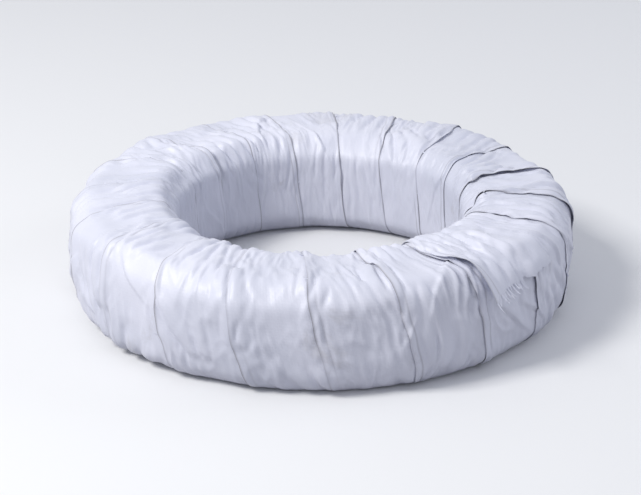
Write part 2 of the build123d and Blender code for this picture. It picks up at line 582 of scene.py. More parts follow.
@dataclass(frozen=True)
class WrappedSection:
    """The room that the wrap leaves round the coil, and the flat sides that the taut cloth makes on it.

    Sizes and sides repeat the CAD's: a rounded square, whose middle is at ring_radius and at
    middle_height, with sides that turn and swell in waves round the ring. Each side is named by the way
    that it faces, in degrees from the outside upwards, starting at the bore and going down. Between two
    lap edges a side turns up to own_turns degrees more, by a random height with own_changes cells a lap.
    """

    ring_radius: float = 202.5
    middle_height: float = 54.6
    half_size: float = 53.2
    corner_radius: float = 29.2
    softness: float = 27.0
    laps: int = 20
    waves: int = 4
    sides: tuple[float, ...] = (180.0, 225.0, 270.0, 315.0, 353.0, 366.0, 405.0, 450.0, 495.0)
    side_turns: tuple[float, ...] = (0.0, 4.0, 0.0, 6.0, 5.0, 5.0, 9.0, 2.5, 7.0)
    side_swells: tuple[float, ...] = (0.0, 0.6, 0.0, 1.0, 0.8, 0.8, 1.8, 1.2, 1.4)
    own_turns: tuple[float, ...] = (0.0, 6.0, 0.0, 9.0, 8.0, 8.0, 12.0, 6.0, 10.0)
    own_changes: float = 1.7
    own_seed: int = 180
    own_cells: tuple[int, int] = (34, 4)
    outline_steps: int = 4000

    @property
    def pitch(self) -> float:
        """Angle round the ring from one lap edge to the next."""
        return WHOLE_TURN / self.laps

    def support(self, direction: Array) -> Array:
        """Distance from the middle to the tangent line of the rounded square, in a direction.

        It is the corner radius, plus the straight half side times |cos| + |sin| of the direction.

        Args:
            direction: Directions from the middle.

        Returns:
            Distances in millimetres.
        """
        straight = self.half_size - self.corner_radius
        return straight * (np.abs(np.cos(direction)) + np.abs(np.sin(direction))) + self.corner_radius

    def side(self, number: int, place: Array) -> tuple[Array, Array]:
        """The way that a side faces at places round the ring, and its distance from the middle.

        The turn is 0.6 of a sine with four waves a ring and 0.4 of one with eight. The swell is half of
        one plus a sine with four waves.

        Args:
            number: The side's number.
            place: Angles round the ring.

        Returns:
            Directions and distances.
        """
        turn = 0.6 * np.sin(self.waves * place + 2.4 * number)
        turn += 0.4 * np.sin(2 * self.waves * place + 1.7 * number + 1.0)
        facing = np.radians(self.sides[number] + self.side_turns[number] * turn)
        swell = self.side_swells[number] * (0.5 + 0.5 * np.sin(self.waves * place + 3.1 * number))
        return facing, self.support(facing) + swell

    def walk(self, share: Array) -> tuple[Array, Array]:
        """Place a share of the way round the section, from the middle of the bore going down.

        The outline is straight runs and quarter circles, whose normal turns evenly with the length. Steps
        along it are added up, and give the direction from the middle at each share.

        Args:
            share: Shares of the way round, from 0 to 1.

        Returns:
            The direction from the middle to each place, and the direction of its outward normal.
        """
        straight = self.half_size - self.corner_radius
        arc = self.corner_radius * np.pi / 2.0
        lengths = np.array([straight] + [arc, 2.0 * straight] * 3 + [arc, straight])
        facing = np.pi + np.pi / 2.0 * np.array([0, 0, 1, 1, 2, 2, 3, 3, 4, 4])
        ends = np.concatenate([[0.0], np.cumsum(lengths)])
        normal = np.interp(share * ends[-1], ends, facing)
        steps = np.linspace(0.0, 1.0, self.outline_steps + 1)
        heading = np.interp(steps * ends[-1], ends, facing) + np.pi / 2.0
        step = ends[-1] / self.outline_steps
        across = -self.half_size + np.concatenate([[0.0], np.cumsum(np.cos(heading[1:]) * step)])
        height = np.concatenate([[0.0], np.cumsum(np.sin(heading[1:]) * step)])
        angle = np.unwrap(np.arctan2(height, across))
        angle += np.pi - angle[0]
        return np.interp(share, steps, angle), normal

    def reach(self, direction: Array, share: Array, turn: Array, pitches: Array) -> Array:
        """Distance from the middle to the taut cloth, a polygon with soft corners.

        Each side keeps the cloth within its distance d: the reach is the sum over sides of
        (max(cos of the angle to the side, 0) / d) ^ softness, to the power of -1 / softness. A side goes
        evenly from what it is where one lap edge crosses it to what it is at the next. Between the
        edges, each lap also turns it a little its own way, by sin^2 of the share of the way between them.

        Args:
            direction: Directions from the middle.
            share: Shares of the way round the section.
            turn: Turns along the strip from the ring angle of zero.
            pitches: Pitches across it.

        Returns:
            The distance for each direction.
        """
        whole = np.floor(pitches)
        part = pitches - whole
        own_share = np.sin(np.pi * part) ** 2
        total = np.zeros(direction.shape)
        for number, nominal in enumerate(self.sides):
            ahead = share - (nominal - self.sides[0]) / 360.0
            edge = self.pitch * (turn + 0.5 + whole + ahead - np.round(ahead))
            near, near_distance = self.side(number, edge)
            far, far_distance = self.side(number, edge + self.pitch)
            change = Unevenness(self.own_seed + number, self.own_cells)
            own = own_share * change.line((turn + whole) * self.own_changes)
            between = near + part * (far - near)
            facing = between + np.radians(self.own_turns[number]) * own
            distance = near_distance + part * (far_distance - near_distance)
            distance += self.support(facing) - self.support(between)
            total += (np.maximum(np.cos(direction - facing), 0.0) / distance) ** self.softness
        return total ** (-1.0 / self.softness)


@dataclass(frozen=True)
class ClothRelief:
    """Folds, pleats, creases, fans and tucks of the taut cloth, as heights over the flat strip.

    Places are in millimetres along the strip and across it, and so are heights and depths. A fold's width
    is a height of the random field whose zero lines it follows. Pleats and crossed creases are spaced in
    millimetres a radian of their wave, and their bends are in radians of it.
    """

    fold_height: float = 2.0
    fold_width: float = 0.24
    fold_lines: Unevenness = Unevenness(13, (512, 128), (78.0, 13.0))
    fold_places: Unevenness = Unevenness(14, (256, 64), (85.0, 46.0))
    slow_bend: Unevenness = Unevenness(11, (256, 32), (130.0, 100.0), 40.0)
    quick_bend: Unevenness = Unevenness(12, (512, 64), (47.0, 34.0), 9.0)
    small_fold_height: float = 0.8
    small_fold_width: float = 0.28
    small_fold_lines: Unevenness = Unevenness(15, (512, 128), (50.0, 8.0))
    small_fold_places: Unevenness = Unevenness(16, (256, 64), (70.0, 40.0))
    pleat_height: float = 1.1
    pleat_spacing: float = 1.8
    pleat_bend: Unevenness = Unevenness(21, (256, 32), (65.0, 60.0), 5.5)
    pleat_places: Unevenness = Unevenness(22, (256, 32), (80.0, 60.0))
    crossed_height: float = 0.9
    crossed_spacing: float = 2.6
    crossed_slants: tuple[float, float] = (0.75, -0.65)
    crossed_bends: tuple[Unevenness, ...] = tuple(
        Unevenness(seed, (512, 64), (40.0, 30.0), 2.6) for seed in (23, 24)
    )
    crossed_places: Unevenness = Unevenness(25, (256, 32), (70.0, 52.0))
    crease_height: float = 2.2
    creases_broad: Unevenness = Unevenness(31, (256, 64), (46.0, 1.0))
    fine_crease_height: float = 1.0
    creases_fine: Unevenness = Unevenness(32, (512, 128), (24.0, 1.0))
    crease_places: Unevenness = Unevenness(33, (256, 32), (110.0, 55.0))
    flat_depth: float = 1.8
    flats: Unevenness = Unevenness(34, (256, 64), (58.0, 31.0))
    ridge_depth: float = 2.8
    ridges: Unevenness = Unevenness(35, (512, 256))
    valley_height: float = 1.9
    valleys: Unevenness = Unevenness(36, (512, 256))
    crumple_places: Unevenness = Unevenness(37, (256, 32), (90.0, 48.0))
    fan_middles: Scatter = Scatter(26, 6, (105.0, 54.0))
    fan_push: Unevenness = Unevenness(27, (512, 64), (27.0, 22.0), 2.2)
    fan_share: float = 0.7
    fan_height: float = 3.8
    fan_spacing: float = 14.0
    pinch_depth: float = 1.8
    pinch_width: float = 7.0
    tuck_middles: Scatter = Scatter(28, 7, (150.0, 70.0))
    tuck_push: Unevenness = Unevenness(29, (512, 64), (36.0, 30.0), 1.6)
    tuck_share: float = 0.62
    tuck_height: float = 4.0
    tuck_slope: float = 8.0
    most_bend: float = 0.011

    def folds(self, along: Array, across: Array) -> Array:
        """Folds that run along the strip and fan out.

        Fold lines are where a stretched random height crosses zero: each is a ridge of
        exp(-(height / width)^2), on places that two slower heights push to and fro.

        Args:
            along: Millimetres along the strip.
            across: Millimetres across it.

        Returns:
            Heights in millimetres.
        """
        bend = self.slow_bend.at(along, across) + self.quick_bend.at(along, across)
        line = self.fold_lines.at(along, across + bend)
        shown = self.fold_places.patches(-0.15, 0.35, along, across)
        small = self.small_fold_lines.at(along, across + 1.3 * bend)
        small_shown = self.small_fold_places.patches(0.0, 0.5, along, across)
        broad = self.fold_height * np.exp(-((line / self.fold_width) ** 2)) * shown
        narrow = self.small_fold_height * np.exp(-((small / self.small_fold_width) ** 2)) * small_shown
        return broad + narrow

    def pleats(self, along: Array, across: Array) -> Array:
        """Patches of even pleats, like an accordion, and of crossed creases.

        Pleats are the square of half of one plus a sine, whose direction and spacing wander. Creases are
        two sets of the same at slants to each other, cubed, where only the higher one counts.

        Args:
            along: Millimetres along the strip.
            across: Millimetres across it.

        Returns:
            Heights in millimetres.
        """
        bend = self.pleat_bend.at(along, across)
        even = np.sin(across / self.pleat_spacing + bend + 0.04 * along)
        shown = self.pleat_places.patches(0.25, 0.7, along, across)
        pleated = self.pleat_height * shown * (0.5 + 0.5 * even) ** 2
        crossed = np.zeros(along.shape)
        for shift, slant in zip(self.crossed_bends, self.crossed_slants):
            wave = np.sin((across + slant * along) / self.crossed_spacing + shift.at(along, across))
            crossed = np.maximum(crossed, (0.5 + 0.5 * wave) ** 3)
        rumpled = self.crossed_places.patches(0.25, 0.7, along, across)
        return pleated + self.crossed_height * rumpled * crossed

    def creases(self, along: Array, across: Array) -> Array:
        """Sharp crease lines all over the cloth, with nearly flat facets between some of them.

        Creases are powers of one minus the size of a random height, which is sharp along its zero
        lines. The facets fall off evenly with the size of another.

        Args:
            along: Millimetres along the strip.
            across: Millimetres across it.

        Returns:
            Heights in millimetres.
        """
        slanted, steep = across / 27.0 + along / 80.0, across / 15.0 - along / 38.0
        broad = 1.0 - self.creases_broad.off_zero(along, slanted)
        fine = 1.0 - self.creases_fine.off_zero(along, steep)
        strong = self.crease_places.patches(-0.25, 0.45, along, across)
        lines = self.crease_height * broad**3 + self.fine_crease_height * fine**4
        return (0.12 + 0.98 * strong) * lines - self.flat_depth * self.flats.off_zero(along, across)

    def crumple(self, along: Array, across: Array) -> Array:
        """Small sharp facets, as in crumpled film, which are deeper in some places than in others.

        Two random heights, slanted to each other, are folded at their zero lines. One makes ridges of
        them and the other valleys.

        Args:
            along: Millimetres along the strip.
            across: Millimetres across it.

        Returns:
            Heights in millimetres.
        """
        ridges = self.ridges.at(along / 34.0 + across / 60.0, across / 12.0 - along / 70.0)
        valleys = self.valleys.at(along / 42.0 - across / 50.0, across / 16.0 + along / 55.0)
        deep = self.crumple_places.patches(0.0, 0.5, along, across)
        facets = self.valley_height * np.abs(valleys) - self.ridge_depth * np.abs(ridges)
        return (0.08 + 0.92 * deep) * (facets + 1.1)

    def fans(self, along: Array, across: Array) -> Array:
        """Bundles of curved folds that spread from a pinch in the cloth.

        At v millimetres from the pinch along the bundle and u beside it, a fold line is
        s = (u + bend v^2) / (1 + v / 70), pushed to and fro by a random height. The height is
        1 - (0.5 - 0.5 cos(2 pi s / spacing))^2, and fades out along the bundle and beside it. The pinch
        is a dent of exp(-(r / width)^2) at the distance r.

        Args:
            along: Millimetres along the strip.
            across: Millimetres across it.

        Returns:
            Heights in millimetres.
        """
        push = self.fan_push.at(along, across)
        height = np.zeros(along.shape)
        for chance, off_along, off_across in self.fan_middles.near(along, across):
            heading = np.where(chance[2] > 0.5, 0.0, np.pi) + 1.1 * (chance[3] - 0.5)
            ahead, beside = turned(off_along, off_across, heading)
            bend = self.most_bend * (chance[5] - 0.5)
            line = (beside + bend * ahead**2 + push) / (1.0 + np.maximum(ahead, -20.0) / 70.0)
            shown = smooth_step(-6.0, 12.0, ahead) * smooth_step(72.0, 25.0, ahead)
            shown = shown * smooth_step(30.0, 15.0, np.abs(line))
            wave = 1.0 - (0.5 - 0.5 * np.cos(2.0 * np.pi * line / self.fan_spacing)) ** 2
            dent = np.exp(-(ahead**2 + beside**2) / self.pinch_width**2)
            bundle = self.fan_height * wave * shown - self.pinch_depth * dent
            height += (chance[4] < self.fan_share) * bundle
        return height

    def tucks(self, along: Array, across: Array) -> Array:
        """Single long slanting folds, steep on one side and flat on the other, where the cloth was pulled.

        At v millimetres along the tuck and u beside it, with s = u + bend v^2, the height rises from 0 to
        its full value between s = -1.8 and s = 1.2, and falls off behind as exp(-s / slope). Along it,
        the full value goes from 0 to 1 and back as 1 - (v / half)^2.

        Args:
            along: Millimetres along the strip.
            across: Millimetres across it.

        Returns:
            Heights in millimetres.
        """
        push = self.tuck_push.at(along, across)
        height = np.zeros(along.shape)
        for chance, off_along, off_across in self.tuck_middles.near(along, across):
            heading = (0.25 + 0.6 * chance[2]) * np.where(chance[3] > 0.35, 1.0, -1.0)
            ahead, beside = turned(off_along, off_across, heading)
            line = beside + self.most_bend * (chance[5] - 0.5) * ahead**2 + push
            half = 34.0 + 28.0 * chance[6]
            full = np.maximum(1.0 - (ahead / half) ** 2, 0.0)
            rise = smooth_step(-1.8, 1.2, line) * np.exp(-np.maximum(line, 0.0) / self.tuck_slope)
            height += (chance[4] < self.tuck_share) * self.tuck_height * full * rise
        return height

    def height(self, along: Array, across: Array) -> Array:
        """Folds, pleats, creases, crumple and fans together, without the tucks.

        Args:
            along: Millimetres along the strip.
            across: Millimetres across it.

        Returns:
            Heights in millimetres.
        """
        raised = self.folds(along, across) + self.pleats(along, across) + self.creases(along, across)
        return raised + self.crumple(along, across) + self.fans(along, across)


@dataclass(frozen=True)
class FrayedTapes:
    """Loose tapes of the weave, which stick out of the lap edges here and there and out of the cut end.

    Their lengths vary from the share shortest to the whole. Sweep and lift are shares of a tape's length,
    and twist is an angle in radians.
    """

    edge_tapes: int = 9
    end_tapes: int = 24
    width: float = 1.8
    edge_length: float = 6.5
    end_length: float = 14.0
    shortest: float = 0.4
    rooted: float = 1.2
    sweep: float = 0.4
    lift: tuple[float, float] = (0.05, 0.35)
    twist: float = 0.7
    steps: int = 8
    root_seed: int = 60
    shape_seed: int = 80

    def roots(
        self, strip: "WovenStrip", number: int, start: float, end: float
    ) -> tuple[Array, Array, Array]:
        """Where the tapes of one run leave the cloth, which way, and how long they may be.

        On a lap edge a tape goes on across the strip, and at the cut end it goes on along it. None is at
        the bore or underneath.

        Args:
            strip: The strip that they belong to.
            number: The run's number.
            start: The turn where the run starts.
            end: The turn where it ends.

        Returns:
            Places in millimetres, unit vectors, and the greatest lengths in millimetres.
        """
        chance = np.random.default_rng(self.root_seed + number)
        turn = chance.uniform(start + 0.1, end - 0.1, 4 * self.edge_tapes)
        turn = np.sort(turn[np.mod(-turn, 1.0) > 0.42][: self.edge_tapes])
        places = strip.surface(turn, np.array([0.0, 0.025]))[0]
        roots, ways = places[:, 0], places[:, 0] - places[:, 1]
        longest = np.full(len(roots), self.edge_length)
        if end == strip.turns:
            across = np.sort(chance.uniform(0.0, 0.8, self.end_tapes))
            places = strip.surface(np.array([end - 0.006, end]), across)[0]
            roots = np.concatenate([roots, places[1]])
            ways = np.concatenate([ways, places[1] - places[0]])
            longest = np.concatenate([longest, np.full(len(across), self.end_length)])
        return roots, ways / np.linalg.norm(ways, axis=-1, keepdims=True), longest

    def build(
        self, strip: "WovenStrip", number: int, start: float, end: float, cloth: bpy.types.Material
    ) -> bpy.types.Object:
        """Build the tapes of one run as narrow ribbons.

        At the share t of its length a tape has gone t along its way, aside t^2 of a random amount and
        off the coil t^2 of another. Its width turns slowly about its way, and narrows as 1 - 0.6 t^2.

        Args:
            strip: The strip that they belong to.
            number: The run's number.
            start: The turn where the run starts.
            end: The turn where it ends.
            cloth: The cloth's material.

        Returns:
            The object.
        """
        roots, ways, longest = self.roots(strip, number, start, end)
        chance = np.random.default_rng(self.shape_seed + number)
        count = len(roots)
        ring = np.arctan2(roots[:, 1], roots[:, 0])
        core = np.stack([np.cos(ring), np.sin(ring)], axis=-1) * strip.section.ring_radius
        core = np.concatenate([core, np.full((count, 1), strip.section.middle_height)], axis=-1)
        outward = roots - core
        outward -= ways * np.sum(outward * ways, axis=-1, keepdims=True)
        outward /= np.linalg.norm(outward, axis=-1, keepdims=True)
        aside = np.cross(ways, outward)

        share = np.linspace(0.0, 1.0, self.steps + 1)[None, :, None]
        length = chance.uniform(self.shortest, 1.0, (count, 1, 1)) * longest[:, None, None]
        sweep = chance.uniform(-self.sweep, self.sweep, (count, 1, 1)) * length
        lift = chance.uniform(*self.lift, (count, 1, 1)) * length
        twist = chance.uniform(-self.twist, self.twist, (count, 1, 1)) * share
        middle = roots[:, None] + ways[:, None] * (length * share - self.rooted)
        middle = middle + aside[:, None] * sweep * share**2 + outward[:, None] * lift * share**2
        width = aside[:, None] * np.cos(twist) + outward[:, None] * np.sin(twist)
        width = width * (self.width / 2.0 * (1.0 - 0.6 * share**2))
        points = np.stack([middle - width, middle + width], axis=2)

        index = np.arange(points[..., 0].size).reshape(count, self.steps + 1, 2)
        corners = [index[:, :-1, 0], index[:, :-1, 1], index[:, 1:, 1], index[:, 1:, 0]]
        faces = np.stack(corners, axis=-1).reshape(-1, 4)
        piece = add_piece(f"frayed_tapes_{number + 1}", points.reshape(-1, 3), faces, cloth)
        piece.data.uv_layers.new(name=STRIP_MAP)
        return piece


@dataclass(frozen=True)
class WovenStrip:
    """The woven strip, wound round the ring in one helix of overlapping laps.

    A place on it has two parameters: the turn, from 0 to turns, and the pitches across from its visible
    edge. The next lap lies over what is more than one pitch across. A lap has its edge_height at the
    visible edge, and falls by the slope over a pitch. Overlaps and the wander of edges are in pitches,
    that of the cut end is in turns, and other sizes are in millimetres.
    """

    section: WrappedSection = WrappedSection()
    wrinkles: ClothRelief = ClothRelief()
    fray: FrayedTapes = FrayedTapes()
    turns: float = 20.42
    turn_length: float = 378.0
    pitch_width: float = 81.0
    flat_width: float = 125.0
    rows_per_turn: int = 150
    columns_hem: int = 9
    columns_shown: int = 43
    columns_covered: int = 7
    first_lap: int = -4
    edge_height: float = 2.3
    slope: float = 0.62
    top_gap: float = 0.6
    floor_share: float = 0.5
    cloth_thickness: float = 0.3
    flatness: float = 0.7
    hem_width: float = 7.0
    hem_wander: Unevenness = Unevenness(45, (256, 4), (90.0, 1.0), 1.8)
    hem_height: float = 0.45
    hem_places: Unevenness = Unevenness(46, (256, 4), (95.0, 1.0))
    # Where the painted shade and dust along the raw edge is stronger
    edge_shade_and_dust_places: Unevenness = Unevenness(48, (256, 4), (70.0, 1.0))
    highest_fold: float = 5.6
    lowest_fold: float = 3.0
    sunk: float = 1.3
    common_height: float = 0.9
    common_slow: Unevenness = Unevenness(43, (22, 8))
    common_quick: Unevenness = Unevenness(44, (48, 14), height=0.5)
    most_edge_lift: float = 1.8
    lift_places: Unevenness = Unevenness(42, (256, 4), (75.0, 1.0))
    edge_wander: float = 0.045
    slow_wander: Unevenness = Unevenness(51, (256, 4), (85.0, 1.0))
    quick_wander: Unevenness = Unevenness(52, (512, 4), (24.0, 1.0), 0.4)
    overlap_outside: float = 0.45
    overlap_at_bore: float = 0.85
    hidden_step: float = 0.3
    hidden_wander: Unevenness = Unevenness(41, (256, 4), (60.0, 1.0), 0.035)
    flap_length: float = 66.0
    flap_lift: float = 25.0
    curl_length: float = 16.0
    curl_height: float = 2.2
    curl_places: Unevenness = Unevenness(55, (4, 64), (1.0, 16.0))
    cut_wander: float = 0.005
    cut_waves: Unevenness = Unevenness(53, (4, 64), (1.0, 9.0))
    cut_teeth: Unevenness = Unevenness(54, (4, 256), height=0.5)
    teeth_count: float = 30.0
    cuts: tuple[float, ...] = (0.0, 3.75, 7.75, 11.75, 15.75)

    @property
    def laps(self) -> int:
        """Laps in one go round the ring."""
        return self.section.laps

    def base(self, pitches: Array) -> Array:
        """Height of a lap in millimetres, which falls evenly across the strip."""
        return self.edge_height - self.slope * pitches

    def flat(self, turn: Array, pitches: Array) -> tuple[Array, Array]:
        """Places on the flat strip, in millimetres along it and across it."""
        return turn * self.turn_length, pitches * self.pitch_width

    def press(self, normal: Array) -> tuple[Array, Array]:
        """How much room the cloth has outwards, by the way that it faces.

        It is pressed flat underneath and drawn tight in the bore, where its height is 0.6 of the full one
        and its wrinkles 0.27. They are strongest where the cloth is gathered, above the bore.

        Args:
            normal: Directions of the outward normals.

        Returns:
            The share of its full height, and the share of its full wrinkles.
        """
        inwards = smooth_step(0.35, 0.95, -np.cos(normal))
        downwards = smooth_step(0.6, 0.99, -np.sin(normal))
        height = 1.0 - 0.4 * inwards - (1.0 - self.floor_share) * downwards
        gathered = smooth_step(0.45, 1.0, np.cos(normal - 0.72 * np.pi))
        wrinkles = (0.9 - 0.63 * inwards + 0.4 * gathered) * (1.0 - downwards)
        return height, wrinkles

    def relief(self, turn: Array, pitches: Array) -> Array:
        """The relief of a lap but for its tucks, smoothed out towards its covered edge.

        It has no hollow where the lap lies on the one below, and none deeper than lowest_fold elsewhere:
        with x above the lowest value, the height is log(1 + e^(3 x)) / 3. It is less high at the visible
        edge, which is drawn tight.

        Args:
            turn: Turns along the strip.
            pitches: Pitches across it.

        Returns:
            Heights in millimetres.
        """
        raised = self.wrinkles.height(*self.flat(turn, pitches))
        lowest = -self.lowest_fold * smooth_step(0.85, 1.0, pitches)
        raised = lowest + np.logaddexp(0.0, 3.0 * (raised - lowest)) / 3.0
        raised = raised * (1.0 - 0.55 * smooth_step(0.11, 0.0, pitches))
        return raised * smooth_step(1.42, 1.02, pitches)

    def tucked(self, turn: Array, pitches: Array) -> Array:
        """Tucks of a lap in millimetres, which end before its edges."""
        tucks = self.wrinkles.tucks(*self.flat(turn, pitches))
        return tucks * smooth_step(0.0, 0.1, pitches) * smooth_step(1.3, 1.0, pitches)

    def edge_lift(self, turn: Array, pitches: Array) -> Array:
        """Height by which the visible edge stands off the lap below, in places along it.

        It falls off as the square of the share of the way that is left to 0.13 pitches across.

        Args:
            turn: Turns along the strip.
            pitches: Pitches across it.

        Returns:
            Heights in millimetres.
        """
        places = self.lift_places.line(turn * self.turn_length, 0.4)
        lifted = self.most_edge_lift * smooth_step(0.2, 0.8, places)
        return lifted * np.maximum(1.0 - pitches / 0.13, 0.0) ** 2

    def behind_hem(self, turn: Array, pitches: Array) -> tuple[Array, Array]:
        """Millimetres from the hem's inner line, and the share of its full height that the hem has.

        Args:
            turn: Turns along the strip.
            pitches: Pitches across it.

        Returns:
            Distances, which are negative on the hem, and shares.
        """
        along, across = self.flat(turn, pitches)
        width = self.hem_width + self.hem_wander.line(along)
        return across - width, smooth_step(-0.3, 0.4, self.hem_places.line(along))

    def hem(self, turn: Array, pitches: Array) -> Array:
        """Height of the hem, where the edge is folded under: a step with a groove behind it.

        The fold's width wanders, and the hem is pressed flatter in some places than in others.

        Args:
            turn: Turns along the strip.
            pitches: Pitches across it.

        Returns:
            Heights in millimetres.
        """
        behind, full = self.behind_hem(turn, pitches)
        step = smooth_step(0.7, -0.7, behind)
        groove = np.exp(-(((behind - 1.2) / 1.1) ** 2))
        return self.hem_height * full * (step - 0.7 * groove)

    def edge_shade_and_dust(self, turn: Array, pitches: Array) -> Array:
        """Share of darkening on the cloth along its raw edge and in the groove behind the hem, in places:
        painted shade of the gap under the edge and of the groove, with some dust.

        Args:
            turn: Turns along the strip.
            pitches: Pitches across it.

        Returns:
            Shares from 0 to 1.
        """
        along, across = self.flat(turn, pitches)
        behind, full = self.behind_hem(turn, pitches)
        groove = full * np.exp(-((behind - 1.2) ** 2))
        edge = np.exp(-((across / 1.3) ** 2))
        shown = smooth_step(-0.6, 0.3, self.edge_shade_and_dust_places.line(along))
        # Painted shade with some dust: half of it in the hem's groove, and up to 0.9 along the raw edge
        return np.clip(0.5 * groove + 0.9 * edge * (0.3 + 0.7 * shown), 0.0, 1.0)

    def past_fold(self, turn: Array, pitches: Array) -> Array:
        """Share of the way from the slanting fold of the loose corner to its tip, and 0 elsewhere.

        It falls evenly with the distance back from the cut end and with the distance across.

        Args:
            turn: Turns along the strip.
            pitches: Pitches across it.

        Returns:
            Shares from 0 to 1.
        """
        back = (self.turns - turn) * self.turn_length / self.flap_length
        return np.clip(1.0 - back - pitches * self.pitch_width / (0.8 * self.flap_length), 0.0, 1.0)

    def loose_end(self, turn: Array, pitches: Array) -> Array:
        """Height by which the loose corner and the cut end stand off the lap below.

        The corner's grows with the share d past its fold as d^1.6, and a slow wave runs along the fold.
        The cut end's is the square of the share of its last part, more in some places than in others.

        Args:
            turn: Turns along the strip.
            pitches: Pitches across it.

        Returns:
            Heights in millimetres.
        """
        past = self.past_fold(turn, pitches)
        wave = 1.0 + 0.12 * np.sin(4.0 * pitches - 3.0 * past + 3.0)
        near = np.maximum(1.0 - (self.turns - turn) * self.turn_length / self.curl_length, 0.0)
        places = self.curl_places.at(np.array(0.5), pitches * self.pitch_width)
        return self.flap_lift * past**1.6 * wave + self.curl_height * (0.7 + 0.5 * places) * near**2

    def layer(self, turn: Array, pitches: Array, placed: Array) -> Array:
        """Height of one lap with its relief, which also shows what lies under it.

        The lap below is one turn back and one pitch further across. Its relief is added to this lap's
        own, their sum h is kept below the highest fold H as H tanh(h / H), and the hidden edge shows
        as a low step. The tucks of both come on top.

        Args:
            turn: Turns along the strip.
            pitches: Pitches across it.
            placed: Pitches round the ring, where the wandering edge has moved the place.

        Returns:
            Heights in millimetres.
        """
        below = np.where(turn < 1.0, turn + self.laps - 1.0, turn - 1.0)
        hidden_edge = self.overlap_outside + self.hidden_wander.line(turn * self.turn_length)
        height = self.relief(turn, pitches) + self.relief(below, placed + 1.0)
        height = self.highest_fold * np.tanh(height / self.highest_fold)
        height = height + self.tucked(turn, pitches) + self.tucked(below, placed + 1.0)
        height = height + self.edge_lift(turn, pitches) + self.hem(turn, pitches)
        step = smooth_step(-0.03, 0.03, pitches - hidden_edge) * smooth_step(1.0, 0.9, pitches)
        return height - self.hidden_step * step

    def shared(self, ring: Array, share: Array) -> Array:
        """A random height that all laps share: one of slow waves, and half of one of quicker ones.

        Args:
            ring: Angles round the ring.
            share: Shares of the way round the section.

        Returns:
            Heights from about -1.5 to 1.5.
        """
        height = np.zeros(ring.shape)
        for waves in (self.common_slow, self.common_quick):
            height += waves.at(ring * waves.cells[0] / WHOLE_TURN, share * waves.cells[1])
        return height

    def heights(
        self, turn: Array, pitches: Array, placed: Array, ring: Array, share: Array, normal: Array
    ) -> Array:
        """Height of the cloth above the room for the coil, along the outward normal.

        Each lap lies over the last one, and the strip's last part lies on top of its first: there it
        takes the height of the laps that it covers, and adds 0.6 of its own relief.

        Args:
            turn: Turns along the strip.
            pitches: Pitches across it.
            placed: Pitches round the ring, where the wandering edge has moved the place.
            ring: Angles round the ring.
            share: Shares of the way round the section.
            normal: Directions of the outward normals.

        Returns:
            Heights in millimetres.
        """
        room, loose = self.press(normal)
        over = smooth_step(self.laps - 0.22, self.laps, turn)
        first = np.maximum(turn - self.laps, 0.0)
        first_lap = self.layer(first, placed, placed)
        after = np.maximum(placed - 1.0, 0.0)
        next_lap = self.layer(first + 1.0, after, after)
        next_share = smooth_step(0.86, 0.98, pitches)
        covered = first_lap + next_share * (next_lap - first_lap)
        covered_base = self.base(pitches) + self.slope * next_share + self.top_gap
        base = self.base(pitches) + over * (covered_base - self.base(pitches))
        raised = self.layer(turn, pitches, placed)
        own = np.maximum(self.relief(turn, pitches), 0.0)
        raised = raised + over * (covered + 0.6 * own - raised)
        loose = loose * (1.0 - 0.75 * smooth_step(0.0, 0.4, self.past_fold(turn, pitches)))
        relief = raised - self.sunk + self.common_height * self.shared(ring, share)
        return room * base + loose * relief + self.loose_end(turn, pitches)

    def last_pitch(self, turn: Array, normal: Array) -> Array:
        """Pitches across to the far edge of the strip, which overlaps more in the bore.

        Near the end of its last lap but one the strip stops short, to leave room for the cut end.

        Args:
            turn: Turns along the strip.
            normal: Directions of the outward normals.

        Returns:
            Pitches.
        """
        inwards = smooth_step(-0.2, 0.8, -np.cos(normal))
        wide = 1.0 + self.overlap_outside + (self.overlap_at_bore - self.overlap_outside) * inwards
        near_end = smooth_step(self.laps - 0.5, self.laps - 0.4, turn)
        near_end = near_end * smooth_step(self.laps + 0.22, self.laps + 0.1, turn)
        return wide + near_end * (0.96 - wide)

    def surface(self, turn: Array, across: Array) -> tuple[Array, Array, Array]:
        """Places of the strip's middle surface.

        The strip runs round the section once a turn while it moves one pitch along the ring. A place is
        the ring's middle, plus the reach in its direction, plus its height along the normal. A lap is
        flatter than the ring's circle, by a share of how far a chord of one pitch lies inside it.

        Args:
            turn: Turns along the strip, one for each row.
            across: Shares across it, from 0 to 1 in what is seen and on to 2 in what is covered.

        Returns:
            Places in millimetres with x, y and z last, places on the flat strip in millimetres, and
            shares of painted shade and dust along the edges.
        """
        turn = np.broadcast_to(turn[:, None], (len(turn), len(across)))
        beside = across[None, :]
        ragged = self.cut_waves.at(np.array(0.5), beside * self.pitch_width)
        ragged = ragged + self.cut_teeth.at(np.array(0.5), beside * self.teeth_count)
        turn = turn + self.cut_wander * ragged * smooth_step(self.turns - 0.08, self.turns, turn)
        share = np.mod(-turn, 1.0)
        direction, normal = self.section.walk(share)
        covered = self.last_pitch(turn, normal) - 1.0
        pitches = np.minimum(beside, 1.0) + np.maximum(beside - 1.0, 0.0) * covered
        along = turn * self.turn_length
        wave = self.slow_wander.line(along) + self.quick_wander.line(along)
        placed = pitches + self.edge_wander * wave * smooth_step(0.4, 0.0, pitches)

        pitch = self.section.pitch
        ring = pitch * (turn + 0.5 + placed + self.first_lap)
        reach = self.section.reach(direction, share, turn + self.first_lap, placed)
        height = self.heights(turn, pitches, placed, ring, share, normal)
        chord = pitch * (np.mod(pitches, 1.0) - 0.5)
        bend = 1.0 - self.flatness * (1.0 - math.cos(pitch / 2.0) / np.cos(chord))
        radius = self.section.ring_radius + reach * np.cos(direction) + height * np.cos(normal)
        radius = radius * bend
        level = self.section.middle_height + reach * np.sin(direction) + height * np.sin(normal)
